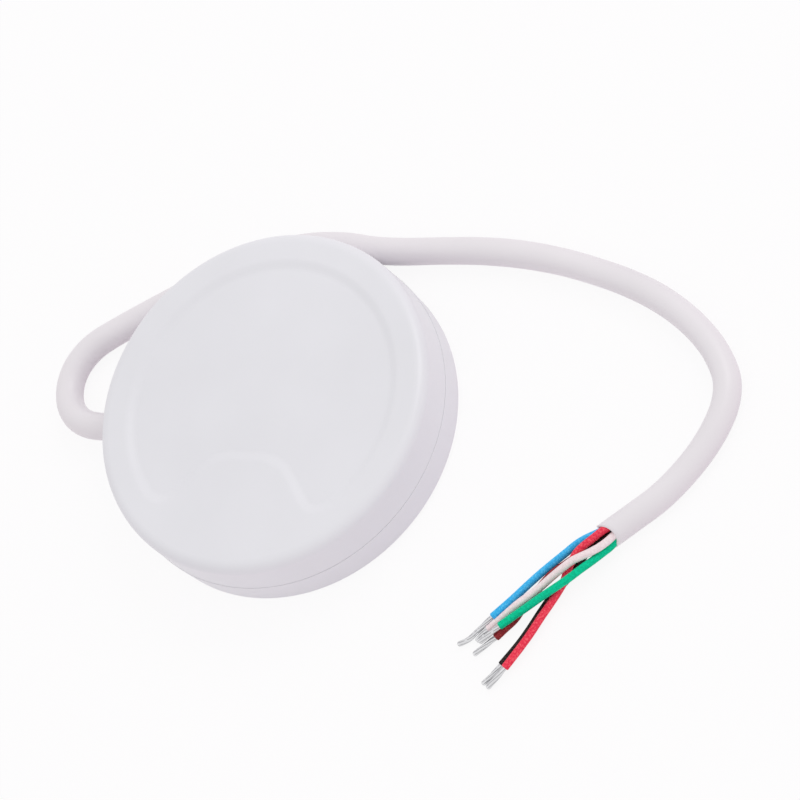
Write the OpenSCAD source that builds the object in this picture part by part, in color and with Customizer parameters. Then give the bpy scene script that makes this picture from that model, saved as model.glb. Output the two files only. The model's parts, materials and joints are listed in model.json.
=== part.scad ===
// Round garage door controller: a flat puck with a snapped-on cover, a circuit board inside,
// and a six-core cable that leaves its side and ends in stripped and tinned cores.
// Millimetres. +Z is up through the face, z = 0 is the surface it lies on, the cable leaves towards -X.

/* [Case] */
// Outer diameter of the cover
case_d = 64; // [62:0.5:80]
// Height of the case from its underside to its rim
case_h = 14.7; // [14.6:0.1:24]
// Height of the seam above the underside
split_h = 6.3; // [5.8:0.1:8]
// Thickness of the side walls
wall = 2.1; // [1.8:0.1:2.6]
// Thickness of the base's floor
floor_t = 2; // [1.6:0.1:2.6]
// Thickness of the cover's top at its rim
top_t = 2.4; // [1.8:0.1:2.8]
// Radius of the cover's rounded edge
top_round = 2; // [1:0.1:4]
// How much the base narrows from the seam to its foot, on the radius
base_draft = 0.3; // [0:0.1:0.8]
// How far the base stands out past the cover at the seam, on the radius
base_proud = 0.05; // [0:0.05:0.2]
// Height of the open groove along the seam
seam_gap = 0.05; // [0.05:0.05:0.3]
// Depth of that groove
seam_depth = 0.6; // [0.2:0.1:1]
// Bevel around the foot of the base
foot_bevel = 0.6; // [0.2:0.1:1]

/* [Snap ring] */
// How far the cover's ring reaches down inside the base
ring_depth = 2.6; // [2:0.1:3.2]
// Thickness of the ring
ring_t = 1.4; // [1:0.1:1.8]
// Height of the ring's root above the seam
ring_root = 1.6; // [1:0.1:2.4]
// Radius of the bead that snaps into the base
bead_r = 0.45; // [0.3:0.05:0.6]
// How far the bead stands out of the ring
bead_out = 0.3; // [0.2:0.05:0.4]
// Clearance between the ring and the base
ring_gap = 0.2; // [0.1:0.05:0.3]

/* [Face] */
// Diameter of the face's recess, at the middle of its slope
recess_d = 51.8; // [46:0.2:53]
// Depth of the recess
recess_depth = 0.6; // [0.3:0.1:1.2]
// Width of the slope around the recess
slope_w = 2.2; // [0.8:0.1:2.6]
// Distance from the centre to the tip of the raised lobe
lobe_tip = 10.4; // [8:0.2:13]
// Distance from the centre to the foot of the lobe
lobe_foot = 19.4; // [16:0.2:21]
// Radius of the corners where the lobe meets the rim
lobe_corner = 5; // [3:0.2:6]
// How square the lobe's shoulders are
lobe_square = 1.85; // [1.2:0.05:2.6]

/* [Adhesive pad] */
// Diameter of the pad
pad_d = 44; // [30:1:50]
// Thickness of the pad
pad_t = 1; // [0.8:0.1:1.4]
// How far the pad stands out of the base
pad_proud = 0.3; // [0.1:0.1:0.6]
// Clearance around the pad
pad_gap = 0.3; // [0.1:0.1:0.6]

/* [Cable] */
// Diameter of the cable's jacket
cable_d = 5; // [4:0.1:5.4]
// Distance of the cable's entry from the middle of the case
cable_y = -3; // [-4:0.5:4]
// Clearance between the cable and the floor
cable_gap = 0.2; // [0:0.1:0.5]
// Length of jacket inside the case
cable_in = 11; // [9:0.5:12]
// Diameter of a core's insulation
core_d = 1.4; // [1:0.1:1.4]
// Diameter of a core's tinned end
tin_d = 1; // [0.6:0.1:1.2]

/* [Grommet] */
// Wall of the grommet's sleeve around the cable
grommet_t = 1; // [0.6:0.1:1.2]
// How far the flange stands out around the sleeve
flange_out = 0.9; // [0.5:0.1:1]
// Thickness of the flange outside the case
flange_t = 1.3; // [0.8:0.1:2]
// Length of the tapered nose
nose_l = 1.5; // [1:0.5:8]
// How far the sleeve reaches into the case
sleeve_in = 0.5; // [0.2:0.1:1]
// Clearance between the grommet and the case
grommet_gap = 0.3; // [0.1:0.05:0.4]
// Width of the cable tie
tie_w = 2.5; // [2:0.1:3]
// Thickness of the cable tie's band
tie_t = 1; // [0.8:0.1:1.4]
// Distance from the jacket's inner end to the cable tie
tie_in = 4; // [3:0.1:4.4]
// Clearance between the cable tie and the base
tie_gap = 0.2; // [0.1:0.05:0.4]

/* [Circuit board] */
// Thickness of the board
board_t = 1.6; // [1:0.1:1.8]
// Height of the posts under the board
board_lift = 2.6; // [2.4:0.1:3.2]
// Clearance between the board and the snap ring
board_gap = 1.3; // [0.6:0.1:2]
// Width of the board's notch for the cable
notch_w = 11; // [9:0.5:14]
// Distance from the connector's plug to the end of that notch
notch_back = 1.2; // [1:0.1:2]
// Distance from the board's edge to the centres of its screws
screw_in = 4; // [3.6:0.1:5]
// Radius of the screws' shanks
screw_r = 1; // [0.8:0.05:1.2]
// Radius of the screws' heads
head_r = 1.9; // [1.6:0.1:2.2]
// Height of the screws' heads
head_h = 1.2; // [0.8:0.1:1.6]
// How far the screws bite into their posts
screw_bite = 2.2; // [1.6:0.1:2.3]
// Radius of the posts
post_r = 2.4; // [2:0.1:3]
// Clearance around a shank in the board
shank_gap = 0.2; // [0.1:0.05:0.4]
// Clearance around a shank in its post
pilot_gap = 0.02; // [0.01:0.01:0.05]

/* [Connector] */
// Distance between two contacts
pitch = 2; // [1.8:0.1:2.2]
// Wall of the socket
socket_wall = 0.8; // [0.6:0.1:1]
// Height of the socket
socket_h = 4.6; // [4.2:0.1:5]
// Length of the socket
socket_l = 7.5; // [6.5:0.1:8.5]
// Distance from the case's middle to the socket's back
socket_x = 3; // [2.4:0.1:3.4]
// How far the plug stands out of the socket
plug_out = 2.7; // [2:0.1:3.5]
// Clearance around the plug
plug_gap = 0.1; // [0.05:0.05:0.2]
// Side of a square contact pin
pin_w = 0.5; // [0.4:0.05:0.6]
// How far pins stand out under the board
pin_under = 0.8; // [0.4:0.1:1]

/* [Relay] */
// Length of the relay
relay_l = 14; // [13:0.2:15]
// Width of the relay
relay_w = 9; // [8:0.2:10]
// Height of the relay
relay_h = 5; // [4.8:0.1:5.6]
// Thickness of the relay's base
relay_base_t = 0.9; // [0.7:0.1:1.1]
// Wall of the relay's case
relay_wall = 0.5; // [0.4:0.05:0.6]
// Radius of the relay's coil
coil_r = 1.3; // [1.1:0.05:1.3]
// Length of the relay's coil
coil_l = 7; // [6:0.1:7]
// Radius of the coil's iron core
iron_r = 0.7; // [0.5:0.05:0.8]
// Thickness of the relay's iron parts
iron_t = 0.45; // [0.35:0.05:0.5]
// Air gap between the core and the armature
air_gap = 0.25; // [0.22:0.01:0.35]

/* [Push switch] */
// Side of the square switch
switch_w = 6; // [5:0.2:7]
// Height of the switch's body
switch_h = 3.4; // [3:0.1:4]
// Radius of its button
button_r = 1.7; // [1.4:0.1:2]
// How far the button stands out
button_out = 1; // [0.6:0.1:1.6]
// Clearance around the button
button_gap = 0.05; // [0.03:0.01:0.08]

/* [Hidden] */
$fn = 64;

// Heights of the case
under_z = pad_proud;
floor_z = under_z + floor_t;
split_z = under_z + split_h;
top_z = under_z + case_h;
ceiling_z = top_z - top_t;

// Radii of the case
case_r = case_d / 2;
base_r = case_r + base_proud;
foot_r = base_r - base_draft;
inner_r = case_r - wall;
ring_ro = inner_r - ring_gap;
ring_ri = ring_ro - ring_t;
bead_c = ring_ro + bead_out - bead_r;
bead_z = split_z - ring_depth / 2;

// Outline of the recess: the lobe's side, the corner at its foot, and the round rim
recess_r = recess_d / 2;
corner_y = lobe_corner - lobe_foot;
corner_x = sqrt(pow(recess_r - lobe_corner, 2) - pow(corner_y, 2));
corner_a = atan2(corner_y, corner_x);
side_steps = 14;
corner_steps = 8;
rim_steps = 26;
slope_steps = 6;
cut_over = 1;

function lobe_y(x) = -lobe_tip - (lobe_foot - lobe_tip) * pow(sin(90 * pow(x / corner_x, lobe_square)), 2);
function lobe_side() = [for (i = [0:side_steps - 1]) let (x = corner_x * i / side_steps) [x, lobe_y(x)]];
function corner_arc() = [
    for (i = [0:corner_steps - 1]) let (a = -90 + (corner_a + 90) * i / corner_steps)
        [corner_x + lobe_corner * cos(a), corner_y + lobe_corner * sin(a)]
];
function rim_arc() = [
    for (i = [0:rim_steps]) let (a = corner_a + (90 - corner_a) * i / rim_steps) recess_r * [cos(a), sin(a)]
];
right_half = concat(lobe_side(), corner_arc(), rim_arc());
left_half = [for (i = [len(right_half) - 2:-1:1]) [-right_half[i][0], right_half[i][1]]];
recess_outline = concat(right_half, left_half);

function unit(v) = v / norm(v);
function outward(loop, i) =
    let (n = len(loop), t = unit(loop[(i + 1) % n] - loop[(i + n - 1) % n])) [t[1], -t[0]];
function grown(loop, by) = [for (i = [0:len(loop) - 1]) loop[i] + by * outward(loop, i)];
function at_height(loop, z) = [for (p = loop) [p[0], p[1], z]];
function eased(s) = s * s * (3 - 2 * s);

// Board and what stands on it
board_r = ring_ri - board_gap;
board_z = floor_z + board_lift;
board_top = board_z + board_t;
post_ring = board_r - screw_in;
post_angles = [0, 120, 240];

// Cable entry and grommet
cable_r = cable_d / 2;
cable_z = floor_z + cable_r + cable_gap;
jacket_x = -(case_r - cable_in);
sleeve_r = cable_r + grommet_t;
flange_r = sleeve_r + flange_out;
flange_x = -(case_r + flange_t);
nose_x = flange_x - nose_l;
tie_x = jacket_x - tie_in;
tie_lip = 0.7;
tie_end = 2.2;
tie_head = [tie_w + 2 * tie_lip, 4, 3];

// Free route of the cable's centre line, from the grommet to the cut end of its jacket
lie_z = 2.6;
cable_points = [
    [jacket_x, cable_y, cable_z], [-(inner_r + case_r) / 2, cable_y, cable_z], [nose_x, cable_y, cable_z],
    [-37.4, -3, 4.8], [-40.6, -2.5, 4.3], [-43.6, -1, 3.6], [-45.9, 1.5, 3], [-47, 4.7, 2.7],
    [-46.9, 8, lie_z], [-45.7, 10.9, lie_z], [-43.8, 13.3, lie_z], [-40.8, 15.6, lie_z], [-35.5, 19.1, lie_z],
    [-29.5, 22.8, lie_z], [-24.6, 25.7, lie_z], [-20, 28.3, lie_z], [-15, 31, lie_z], [-9.4, 33.1, lie_z],
    [-3.6, 34.2, lie_z], [2.4, 34.4, lie_z], [8, 33.9, lie_z], [14, 33.9, lie_z], [22, 34.4, lie_z],
    [30, 34.7, lie_z], [38, 34.4, lie_z], [46, 33.4, lie_z], [53.5, 31.8, lie_z], [60, 30, lie_z],
    [66.5, 27.5, lie_z], [72.5, 24.2, lie_z], [77.5, 20.4, lie_z], [81, 16.6, lie_z], [83.2, 12.8, lie_z],
    [83.8, 8.6, lie_z], [83, 4.2, lie_z], [81.2, -0.4, lie_z], [78.5, -5, lie_z], [75.2, -9.2, lie_z],
    [71.2, -12.9, lie_z], [66.7, -16.9, lie_z]
];
cable_sides = 12;
core_sides = 8;

// Routes of the cores: along the cable's end, across it towards the far side, and above the surface
core_routes = [
    [[0, 1.4, 2.7], [3.3, 2.4, 2.2], [5.4, 2.8, 1.8], [7.6, 2.9, 1.4], [10, 3, 1], [12.5, 3, 0.7],
     [16, 2.6, 0.7], [20, 2, 0.7], [24.5, 1.5, 0.7]],
    [[0, -1.5, 3.6], [1.6, -1.7, 3.9], [3.4, -1.5, 4], [5.2, -1.1, 4], [7, -0.7, 3.9], [9, -0.7, 3.8],
     [11.5, -0.4, 3], [14.3, -0.4, 2.5], [16.5, -0.4, 2.3], [19, -0.3, 2.2], [21.5, -0.1, 1.5],
     [24.3, 0, 0.8], [26.3, -0.1, 0.7]],
    [[0, -1.8, 2.1], [1.7, -2.1, 2.4], [4, -2.5, 2.9], [6.4, -2.8, 3.4], [8.8, -3, 3.6], [11.1, -2.9, 3.5],
     [13.7, -2.6, 3.2], [16.2, -2.3, 2.8], [18.5, -2.1, 2.5], [21, -1.9, 2.3], [23.9, -1.8, 2.2]],
    [[0, 0.2, 1.1], [2, 0.6, 0.8], [4, 1.1, 0.7], [6, 1.4, 0.7], [8.5, 1.5, 0.7], [11.5, 1.5, 0.7],
     [13.5, 1.1, 0.7], [16, 0.3, 0.7], [19, -0.6, 0.7], [21.4, -1.6, 0.7], [24, -2, 0.7], [25.8, -2.3, 0.7]],
    [[0, 0.6, 3.9], [2, 0.6, 3.7], [4, 0.7, 3.4], [5.7, 0.7, 2.9], [7.3, 0.1, 2.5], [9, -1, 2.3],
     [10.5, -2.1, 2], [12.2, -2.9, 1.8], [14, -3.6, 1.6], [17, -4.9, 1.6], [20, -6.3, 1.6], [23, -7.5, 1.6],
     [26.9, -8.8, 1.5]],
    [[0, -0.1, 2.5], [2, 0.2, 2.2], [4, 0.3, 1.9], [6, -0.1, 1.3], [8, -0.7, 0.9], [10, -1.2, 0.7],
     [12, -1.7, 0.7], [14, -2.3, 0.7], [17, -3.6, 0.7], [20, -5, 0.7], [23, -6.2, 0.7], [27.3, -7.5, 0.7]]
];
tin_routes = [
    [[24.5, 1.5, 0.7], [26.3, 1.2, 0.7], [28, 0.9, 0.7], [29.6, 0.6, 0.7], [30.9, 0.7, 0.7],
     [32.3, 1, 0.7]],
    [[26.3, -0.1, 0.7], [27.6, -0.2, 0.6], [29.2, -0.6, 0.6]],
    [[23.9, -1.8, 2.2], [25.7, -1.7, 1.9], [27, -1.6, 1.6], [28.7, -1.5, 1.2]],
    [[25.8, -2.3, 0.7], [27.6, -2.3, 0.6], [29.2, -2.4, 0.6], [30.8, -2.5, 0.6]],
    [[26.9, -8.8, 1.5], [28.7, -9.2, 1.2], [30.2, -9.4, 0.9], [31.6, -9.6, 0.6]],
    [[27.3, -7.5, 0.7], [29.2, -7.9, 0.6], [30.6, -8.2, 0.6], [32, -8.4, 0.6]]
];
cable_end = cable_points[len(cable_points) - 1];
end_along = unit(cable_end - cable_points[len(cable_points) - 2]);
end_across = [end_along[1], -end_along[0], 0];
function from_end(p) = [cable_end[0], cable_end[1], 0] + p[0] * end_along + p[1] * end_across + [0, 0, p[2]];
function placed(route) = [for (p = route) from_end(p)];

// Connector on the board
ways = 6;
socket_side = 2;
socket_w = pitch * (ways - 1) + 2 * socket_side;
mouth_x = -(socket_x + socket_l);
plug_back_x = mouth_x - plug_out;
plug_w = socket_w - 2 * (socket_wall + plug_gap);
plug_h = socket_h - 2 * (socket_wall + plug_gap);
contact_z = board_top + socket_h / 2;
pin_back = 0.6;
pin_drop_x = -socket_x + pin_back;
contact_clear = 0.15;
contact_in = 2;
contact_tip_x = mouth_x + contact_in;
contact_room = 0.5;
plug_over = 3.5;
notch_x = plug_back_x - notch_back;
function contact_y(i) = cable_y + pitch * ((ways - 1) / 2 - i);

// Tails of the cores inside the case, from the jacket's inner end to the plug: they spread, then rise
tail_gap = 0.15;
tail_ring = core_d + tail_gap;
tail_angles = [0, 60, -60, -120, 120, 180];
tail_steps = 10;
tail_level = 0.3;
function tail_start(i) =
    [jacket_x, cable_y, cable_z] + tail_ring * [0, cos(tail_angles[i]), sin(tail_angles[i])];
function tail_end(i) = [plug_back_x, contact_y(i), contact_z];
function tail_rise(s) = eased(max(0, s - tail_level) / (1 - tail_level));
function tail_route(i) = [
    for (k = [0:tail_steps]) let (s = k / tail_steps, a = tail_start(i), b = tail_end(i))
        [a[0] + (b[0] - a[0]) * s, a[1] + (b[1] - a[1]) * eased(s), a[2] + (b[2] - a[2]) * tail_rise(s)]
];

// Parts on the board
radio_size = [12, 16, 0.8];
radio_margin = 0.8;
radio_pads = 7;
radio_pad_step = 1.5;
radio_pad_r = 0.4;
shield_size = [9.6, 10.4, 1.8];
shield_wall = 0.2;
antenna_size = [7, 2, 1.2];
capacitor_r = 3.1;
capacitor_room = 1.1;
capacitor_foot_t = 0.7;
capacitor_h = ceiling_z - capacitor_room - board_top - capacitor_foot_t;
capacitor_foot_over = 0.2;
capacitor_corner = 1.6;
neck_z = 0.8;
neck_r = 0.4;
neck_out = 0.15;
inductor_size = [5.2, 5.2, 0.7];
inductor_h = 2.8;
inductor_post_r = 1.3;
inductor_coil_r = 2.2;
inductor_top_r = 2.5;
lead_t = 0.2;
lead_w = 0.6;
lead_out = 0.8;
rectifier_size = [4.7, 3.9, 2.4];
rectifier_leads = [-1.3, 1.3];
surge_size = [4.4, 3.6, 2.2];
surge_leads = [-0.7, 0.7];
regulator_size = [6.5, 3.5, 1.6];
regulator_leads = [-2.3, 0, 2.3];
transistor_size = [2.9, 1.4, 1];
transistor_leads = [-0.95, 0.95];
passive_size = [2, 1.25, 0.6];
led_size = [3.2, 1.6, 0.7];
led_dome_r = 0.6;
led_dome_h = 0.4;

// Push switch
switch_floor = 1;
press_room = 0.4;
switch_leg_out = 1.1;
switch_leg_w = 0.8;
button_foot = board_top + switch_floor + press_room;

// Places of the parts on the board, some by their distance from its edge
relay_edge = 7;
relay_at = [6, board_r - relay_edge - relay_w / 2];
radio_edge = [8, 9];
radio_at = [board_r - radio_edge[0] - radio_size[0] / 2, radio_edge[1] + radio_size[1] / 2 - board_r];
shield_at = [radio_at[0], radio_at[1] + (radio_size[1] - shield_size[1]) / 2 - radio_margin];
switch_back = 4.6;
switch_at = [0, -lobe_tip - switch_back];
capacitor_at = [-8, 10.5];
inductor_edge = 9.5;
inductor_at = [inductor_edge - board_r, 9];
rectifier_edge = 10;
rectifier_at = [rectifier_edge - board_r, -12.5];
surge_at = [-9, -13.5];
regulator_at = [2.2, 4.6];
transistor_at = [10.5, 5.6];
led_edge = 8;
led_at = [board_r - led_edge, 6];
passive_gap = 0.8;
beside_radio = radio_at - [radio_size[0] / 2 + passive_gap + passive_size[0] / 2, 0];
passive_spots = [
    [7, 2.7], [9.5, 2.7], [12, 2.7], [14.5, 2.7], [16, 9.5], [-4.5, -11.5],
    beside_radio + [0, 1], beside_radio - [0, 2]
];

// Relay, seen from the middle of its base
relay_z = board_top;
relay_room = 0.3;
relay_pin_r = 0.25;
relay_pin_gap = 0.15;
relay_pin_xs = [-5.5, -2, 2, 5.5];
relay_pin_in = 1.2;
relay_pin_y = relay_w / 2 - relay_pin_in;
relay_floor = relay_z + relay_base_t;
coil_gap = 0.1;
coil_z = relay_floor + iron_t + coil_gap + coil_r;
yoke_w = 5;
yoke_gap = 0.3;
yoke_x = -relay_l / 2 + relay_wall + yoke_gap;
coil_x = yoke_x + iron_t;
pole_out = 0.6;
pole_x = coil_x + coil_l + pole_out;
armature_x = pole_x + air_gap;
armature_w = 4.4;
armature_h = 2.7;
pivot_gap = 0.05;
armature_foot = relay_floor + iron_t + pivot_gap;
contact_gap = 0.08;
contact_r = 0.5;
contact_l = 0.4;
contact_up = 2;
blade_size = [0.3, 2.4, 2.9];

// Sweeps and lofts
function tangent(pts, i) = unit(pts[min(i + 1, len(pts) - 1)] - pts[max(i - 1, 0)]);
function ring_at(pts, i, r, sides) = let (t = tangent(pts, i), u = unit(cross([0, 0, 1], t)), v = cross(t, u))
    [for (k = [0:sides - 1]) let (a = 360 * (k + 0.5) / sides) pts[i] + r * cos(a) * u + r * sin(a) * v];

module loft(rings) {
    n = len(rings[0]);
    m = len(rings);
    points = [for (ring = rings, p = ring) p];
    walls = [
        for (k = [0:m - 2], i = [0:n - 1])
            let (a = k * n + i, b = a + n, j = (i + 1) % n, d = k * n + j, c = d + n)
                each [[a, b, c], [a, c, d]]
    ];
    caps = [[for (i = [0:n - 1]) i], [for (i = [n - 1:-1:0]) (m - 1) * n + i]];
    polyhedron(points, concat(walls, caps), convexity = 6);
}

module tube(pts, d, sides) {
    loft([for (i = [0:len(pts) - 1]) ring_at(pts, i, d / 2, sides)]);
}

// A round bar along X from one place to another
module bar_x(x0, x1, r) {
    translate([x0, 0, 0]) rotate([0, 90, 0]) cylinder(r = r, h = x1 - x0);
}

module block(at, size, z) {
    translate([at[0] - size[0] / 2, at[1] - size[1] / 2, z]) cube(size);
}

module recess_cutter() {
    slope = [
        for (k = [0:slope_steps]) let (s = k / slope_steps)
            at_height(grown(recess_outline, slope_w * (s - 0.5)), top_z - recess_depth * (1 - eased(s)))
    ];
    mouth = [at_height(grown(recess_outline, slope_w / 2), top_z + cut_over)];
    loft(concat(slope, mouth));
}

module cover_profile() {
    difference() {
        union() {
            translate([0, split_z]) square([case_r, case_h - split_h - top_round]);
            translate([0, split_z]) square([case_r - top_round, case_h - split_h]);
            translate([case_r - top_round, top_z - top_round]) circle(r = top_round);
            translate([ring_ri, split_z - ring_depth]) square([ring_t, ring_depth + ring_root]);
            translate([bead_c, bead_z]) circle(r = bead_r);
        }
        translate([0, split_z - ring_depth - cut_over])
            square([ring_ri, ceiling_z - split_z + ring_depth + cut_over]);
        translate([0, split_z + ring_root]) square([inner_r, ceiling_z - split_z - ring_root]);
        translate([case_r - seam_depth, split_z - cut_over])
            square([seam_depth + cut_over, seam_gap + cut_over]);
    }
}

// Opening around the grommet's sleeve, open downwards in the cover and upwards in the base
module sleeve_gap(gap, up) {
    x0 = -(case_r + cut_over);
    x1 = -(ring_ri - cut_over);
    reach = up ? split_h : -split_h;
    translate([0, cable_y, cable_z]) bar_x(x0, x1, sleeve_r + gap);
    translate([x0, cable_y - sleeve_r - gap, min(cable_z, cable_z + reach)])
        cube([x1 - x0, 2 * (sleeve_r + gap), split_h]);
}

// Room that the relay keeps under a low cover
module relay_pocket() {
    around = 2 * relay_room;
    block(relay_at, [relay_l + around, relay_w + around, relay_h + relay_room], relay_z);
}

module front_cover() {
    color([0.93, 0.93, 0.94])
    difference() {
        rotate_extrude() cover_profile();
        recess_cutter();
        relay_pocket();
        sleeve_gap(grommet_gap, false);
    }
}

module rear_base() {
    color([0.91, 0.91, 0.92])
    difference() {
        union() {
            rotate_extrude() polygon([
                [0, under_z], [foot_r - foot_bevel, under_z], [foot_r, under_z + foot_bevel],
                [base_r, split_z], [inner_r, split_z], [inner_r, floor_z], [0, floor_z]
            ]);
            for (a = post_angles) rotate(a) translate([post_ring, 0, floor_z])
                cylinder(r = post_r, h = board_lift);
        }
        for (a = post_angles) rotate(a) translate([post_ring, 0, floor_z])
            cylinder(r = screw_r + pilot_gap, h = board_lift + cut_over);
        rotate_extrude() translate([bead_c, bead_z]) circle(r = bead_r + ring_gap);
        translate([0, 0, -cut_over]) cylinder(r = pad_d / 2 + pad_gap, h = pad_t + cut_over);
        translate([tie_x, cable_y, cable_z])
            bar_x(-tie_w / 2 - tie_gap, tie_w / 2 + tie_gap, cable_r + tie_t + tie_gap);
        sleeve_gap(pilot_gap, true);
    }
}

module adhesive_pad() {
    color([0.25, 0.26, 0.28]) cylinder(d = pad_d, h = pad_t);
}

module cable_grommet() {
    color([0.9, 0.9, 0.9])
    difference() {
        union() {
            translate([0, cable_y, cable_z]) bar_x(flange_x, sleeve_in - inner_r, sleeve_r);
            difference() {
                translate([0, cable_y, cable_z]) bar_x(flange_x, -inner_r, flange_r);
                cylinder(r = base_r + grommet_gap, h = top_z);
            }
            translate([nose_x, cable_y, cable_z]) rotate([0, 90, 0])
                cylinder(r1 = cable_r + grommet_t / 2, r2 = sleeve_r, h = nose_l);
        }
        translate([0, cable_y, cable_z]) bar_x(nose_x - cut_over, jacket_x, cable_r);
    }
}

module cable_tie() {
    strip = [tie_w, tie_head[1] / 2 + tie_end, tie_t];
    color([0.15, 0.15, 0.16])
    difference() {
        union() {
            translate([tie_x, cable_y, cable_z]) bar_x(-tie_w / 2, tie_w / 2, cable_r + tie_t);
            block([tie_x, cable_y], tie_head, cable_z + cable_r + tie_t / 2);
            block([tie_x, cable_y + strip[1] / 2], strip, cable_z + cable_r + tie_t);
        }
        translate([tie_x, cable_y, cable_z]) bar_x(-tie_head[0], tie_head[0], cable_r);
    }
}

module cable_jacket() {
    color([0.9, 0.89, 0.9]) tube(cable_points, cable_d, cable_sides);
}

module core(i) {
    tube(placed(core_routes[i]), core_d, core_sides);
}

module core_blue() {
    color([0.15, 0.55, 0.88]) core(0);
}

module core_white() {
    color([0.9, 0.87, 0.87]) core(1);
}

module core_green() {
    color([0.02, 0.72, 0.5]) core(2);
}

module core_brown() {
    color([0.45, 0.1, 0.12]) core(3);
}

module core_red() {
    color([0.9, 0.16, 0.28]) core(4);
}

module core_black() {
    color([0.1, 0.09, 0.09]) core(5);
}

module tinned_ends() {
    color([0.75, 0.75, 0.77]) for (route = tin_routes) tube(placed(route), tin_d, core_sides);
}

module tail(i) {
    tube(tail_route(i), core_d, core_sides);
}

module tail_blue() {
    color([0.15, 0.55, 0.88]) tail(0);
}

module tail_white() {
    color([0.9, 0.87, 0.87]) tail(1);
}

module tail_green() {
    color([0.02, 0.72, 0.5]) tail(2);
}

module tail_brown() {
    color([0.45, 0.1, 0.12]) tail(3);
}

module tail_red() {
    color([0.9, 0.16, 0.28]) tail(4);
}

module tail_black() {
    color([0.1, 0.09, 0.09]) tail(5);
}

module plug_housing() {
    hole = pin_w + 2 * contact_clear;
    length = contact_tip_x - plug_back_x + plug_over;
    color([0.93, 0.92, 0.88])
    difference() {
        translate([plug_back_x, cable_y - plug_w / 2, contact_z - plug_h / 2]) cube([length, plug_w, plug_h]);
        for (i = [0:ways - 1])
            translate([contact_tip_x - contact_room, contact_y(i) - hole / 2, contact_z - hole / 2])
                cube([length, hole, hole]);
    }
}

module board_socket() {
    inner = [socket_l, socket_w - 2 * socket_wall, socket_h - 2 * socket_wall];
    hole = pin_w + 2 * pilot_gap;
    color([0.93, 0.92, 0.88])
    difference() {
        translate([mouth_x, cable_y - socket_w / 2, board_top]) cube([socket_l, socket_w, socket_h]);
        translate([mouth_x - socket_wall, cable_y - inner[1] / 2, board_top + socket_wall]) cube(inner);
        for (i = [0:ways - 1])
            translate([-socket_x - socket_wall - cut_over, contact_y(i) - hole / 2, contact_z - hole / 2])
                cube([socket_wall + 2 * cut_over, hole, hole]);
    }
}

module socket_pins() {
    drop = contact_z + pin_w / 2 - board_z + pin_under;
    color([0.8, 0.75, 0.55])
    for (i = [0:ways - 1]) {
        translate([contact_tip_x, contact_y(i) - pin_w / 2, contact_z - pin_w / 2])
            cube([pin_drop_x + pin_w - contact_tip_x, pin_w, pin_w]);
        translate([pin_drop_x, contact_y(i) - pin_w / 2, board_z - pin_under]) cube([pin_w, pin_w, drop]);
    }
}

module circuit_board() {
    color([0.05, 0.32, 0.16])
    difference() {
        translate([0, 0, board_z]) cylinder(r = board_r, h = board_t);
        translate([-board_r - cut_over, cable_y - notch_w / 2, board_z - cut_over])
            cube([board_r + cut_over + notch_x, notch_w, board_t + 2 * cut_over]);
        for (a = post_angles) rotate(a) translate([post_ring, 0, board_z - cut_over])
            cylinder(r = screw_r + shank_gap, h = board_t + 2 * cut_over);
        for (x = relay_pin_xs, y = [-relay_pin_y, relay_pin_y])
            translate([relay_at[0] + x, relay_at[1] + y, board_z - cut_over])
                cylinder(r = relay_pin_r + relay_pin_gap, h = board_t + 2 * cut_over);
        for (i = [0:ways - 1]) translate([pin_drop_x + pin_w / 2, contact_y(i), board_z - cut_over])
            cylinder(r = pin_w, h = board_t + 2 * cut_over);
    }
}

module board_screws() {
    slot_w = 0.5;
    slot_l = head_r * 1.3;
    color([0.72, 0.72, 0.74])
    for (a = post_angles) rotate(a) translate([post_ring, 0, board_top])
        difference() {
            union() {
                cylinder(r = head_r, h = head_h);
                translate([0, 0, -board_t - screw_bite]) cylinder(r = screw_r, h = board_t + screw_bite);
            }
            for (turn = [0, 90]) rotate(turn) translate([-slot_l / 2, -slot_w / 2, head_h / 2])
                cube([slot_l, slot_w, head_h]);
        }
}

module radio_board() {
    color([0.06, 0.2, 0.36])
    difference() {
        block(radio_at, radio_size, board_top);
        for (side = [-1, 1], i = [0:radio_pads - 1])
            translate([
                shield_at[0] + side * radio_size[0] / 2,
                shield_at[1] + radio_pad_step * (i - (radio_pads - 1) / 2),
                board_top - cut_over
            ])
                cylinder(r = radio_pad_r, h = radio_size[2] + 2 * cut_over);
    }
}

module radio_shield() {
    inside = shield_size - [2 * shield_wall, 2 * shield_wall, 0];
    z = board_top + radio_size[2];
    color([0.76, 0.76, 0.78])
    difference() {
        block(shield_at, shield_size, z);
        block(shield_at, inside, z - shield_wall);
    }
}

module chip_antenna() {
    at = [radio_at[0], radio_at[1] - radio_size[1] / 2 + antenna_size[1] / 2 + radio_margin];
    color([0.85, 0.85, 0.8]) block(at, antenna_size, board_top + radio_size[2]);
}

module relay_base() {
    color([0.16, 0.16, 0.17]) block(relay_at, [relay_l, relay_w, relay_base_t], relay_z);
}

module relay_pins() {
    color([0.78, 0.78, 0.8])
    for (x = relay_pin_xs, y = [-relay_pin_y, relay_pin_y])
        translate([relay_at[0] + x, relay_at[1] + y, board_z - pin_under])
            cylinder(r = relay_pin_r, h = board_t + pin_under);
}

module relay_yoke() {
    color([0.6, 0.6, 0.62])
    translate([relay_at[0], relay_at[1], 0]) {
        translate([yoke_x, -yoke_w / 2, relay_floor]) cube([armature_x + iron_t - yoke_x, yoke_w, iron_t]);
        translate([yoke_x, -yoke_w / 2, relay_floor]) cube([iron_t, yoke_w, coil_z + coil_r - relay_floor]);
        translate([0, 0, coil_z]) bar_x(yoke_x, pole_x, iron_r);
    }
}

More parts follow.
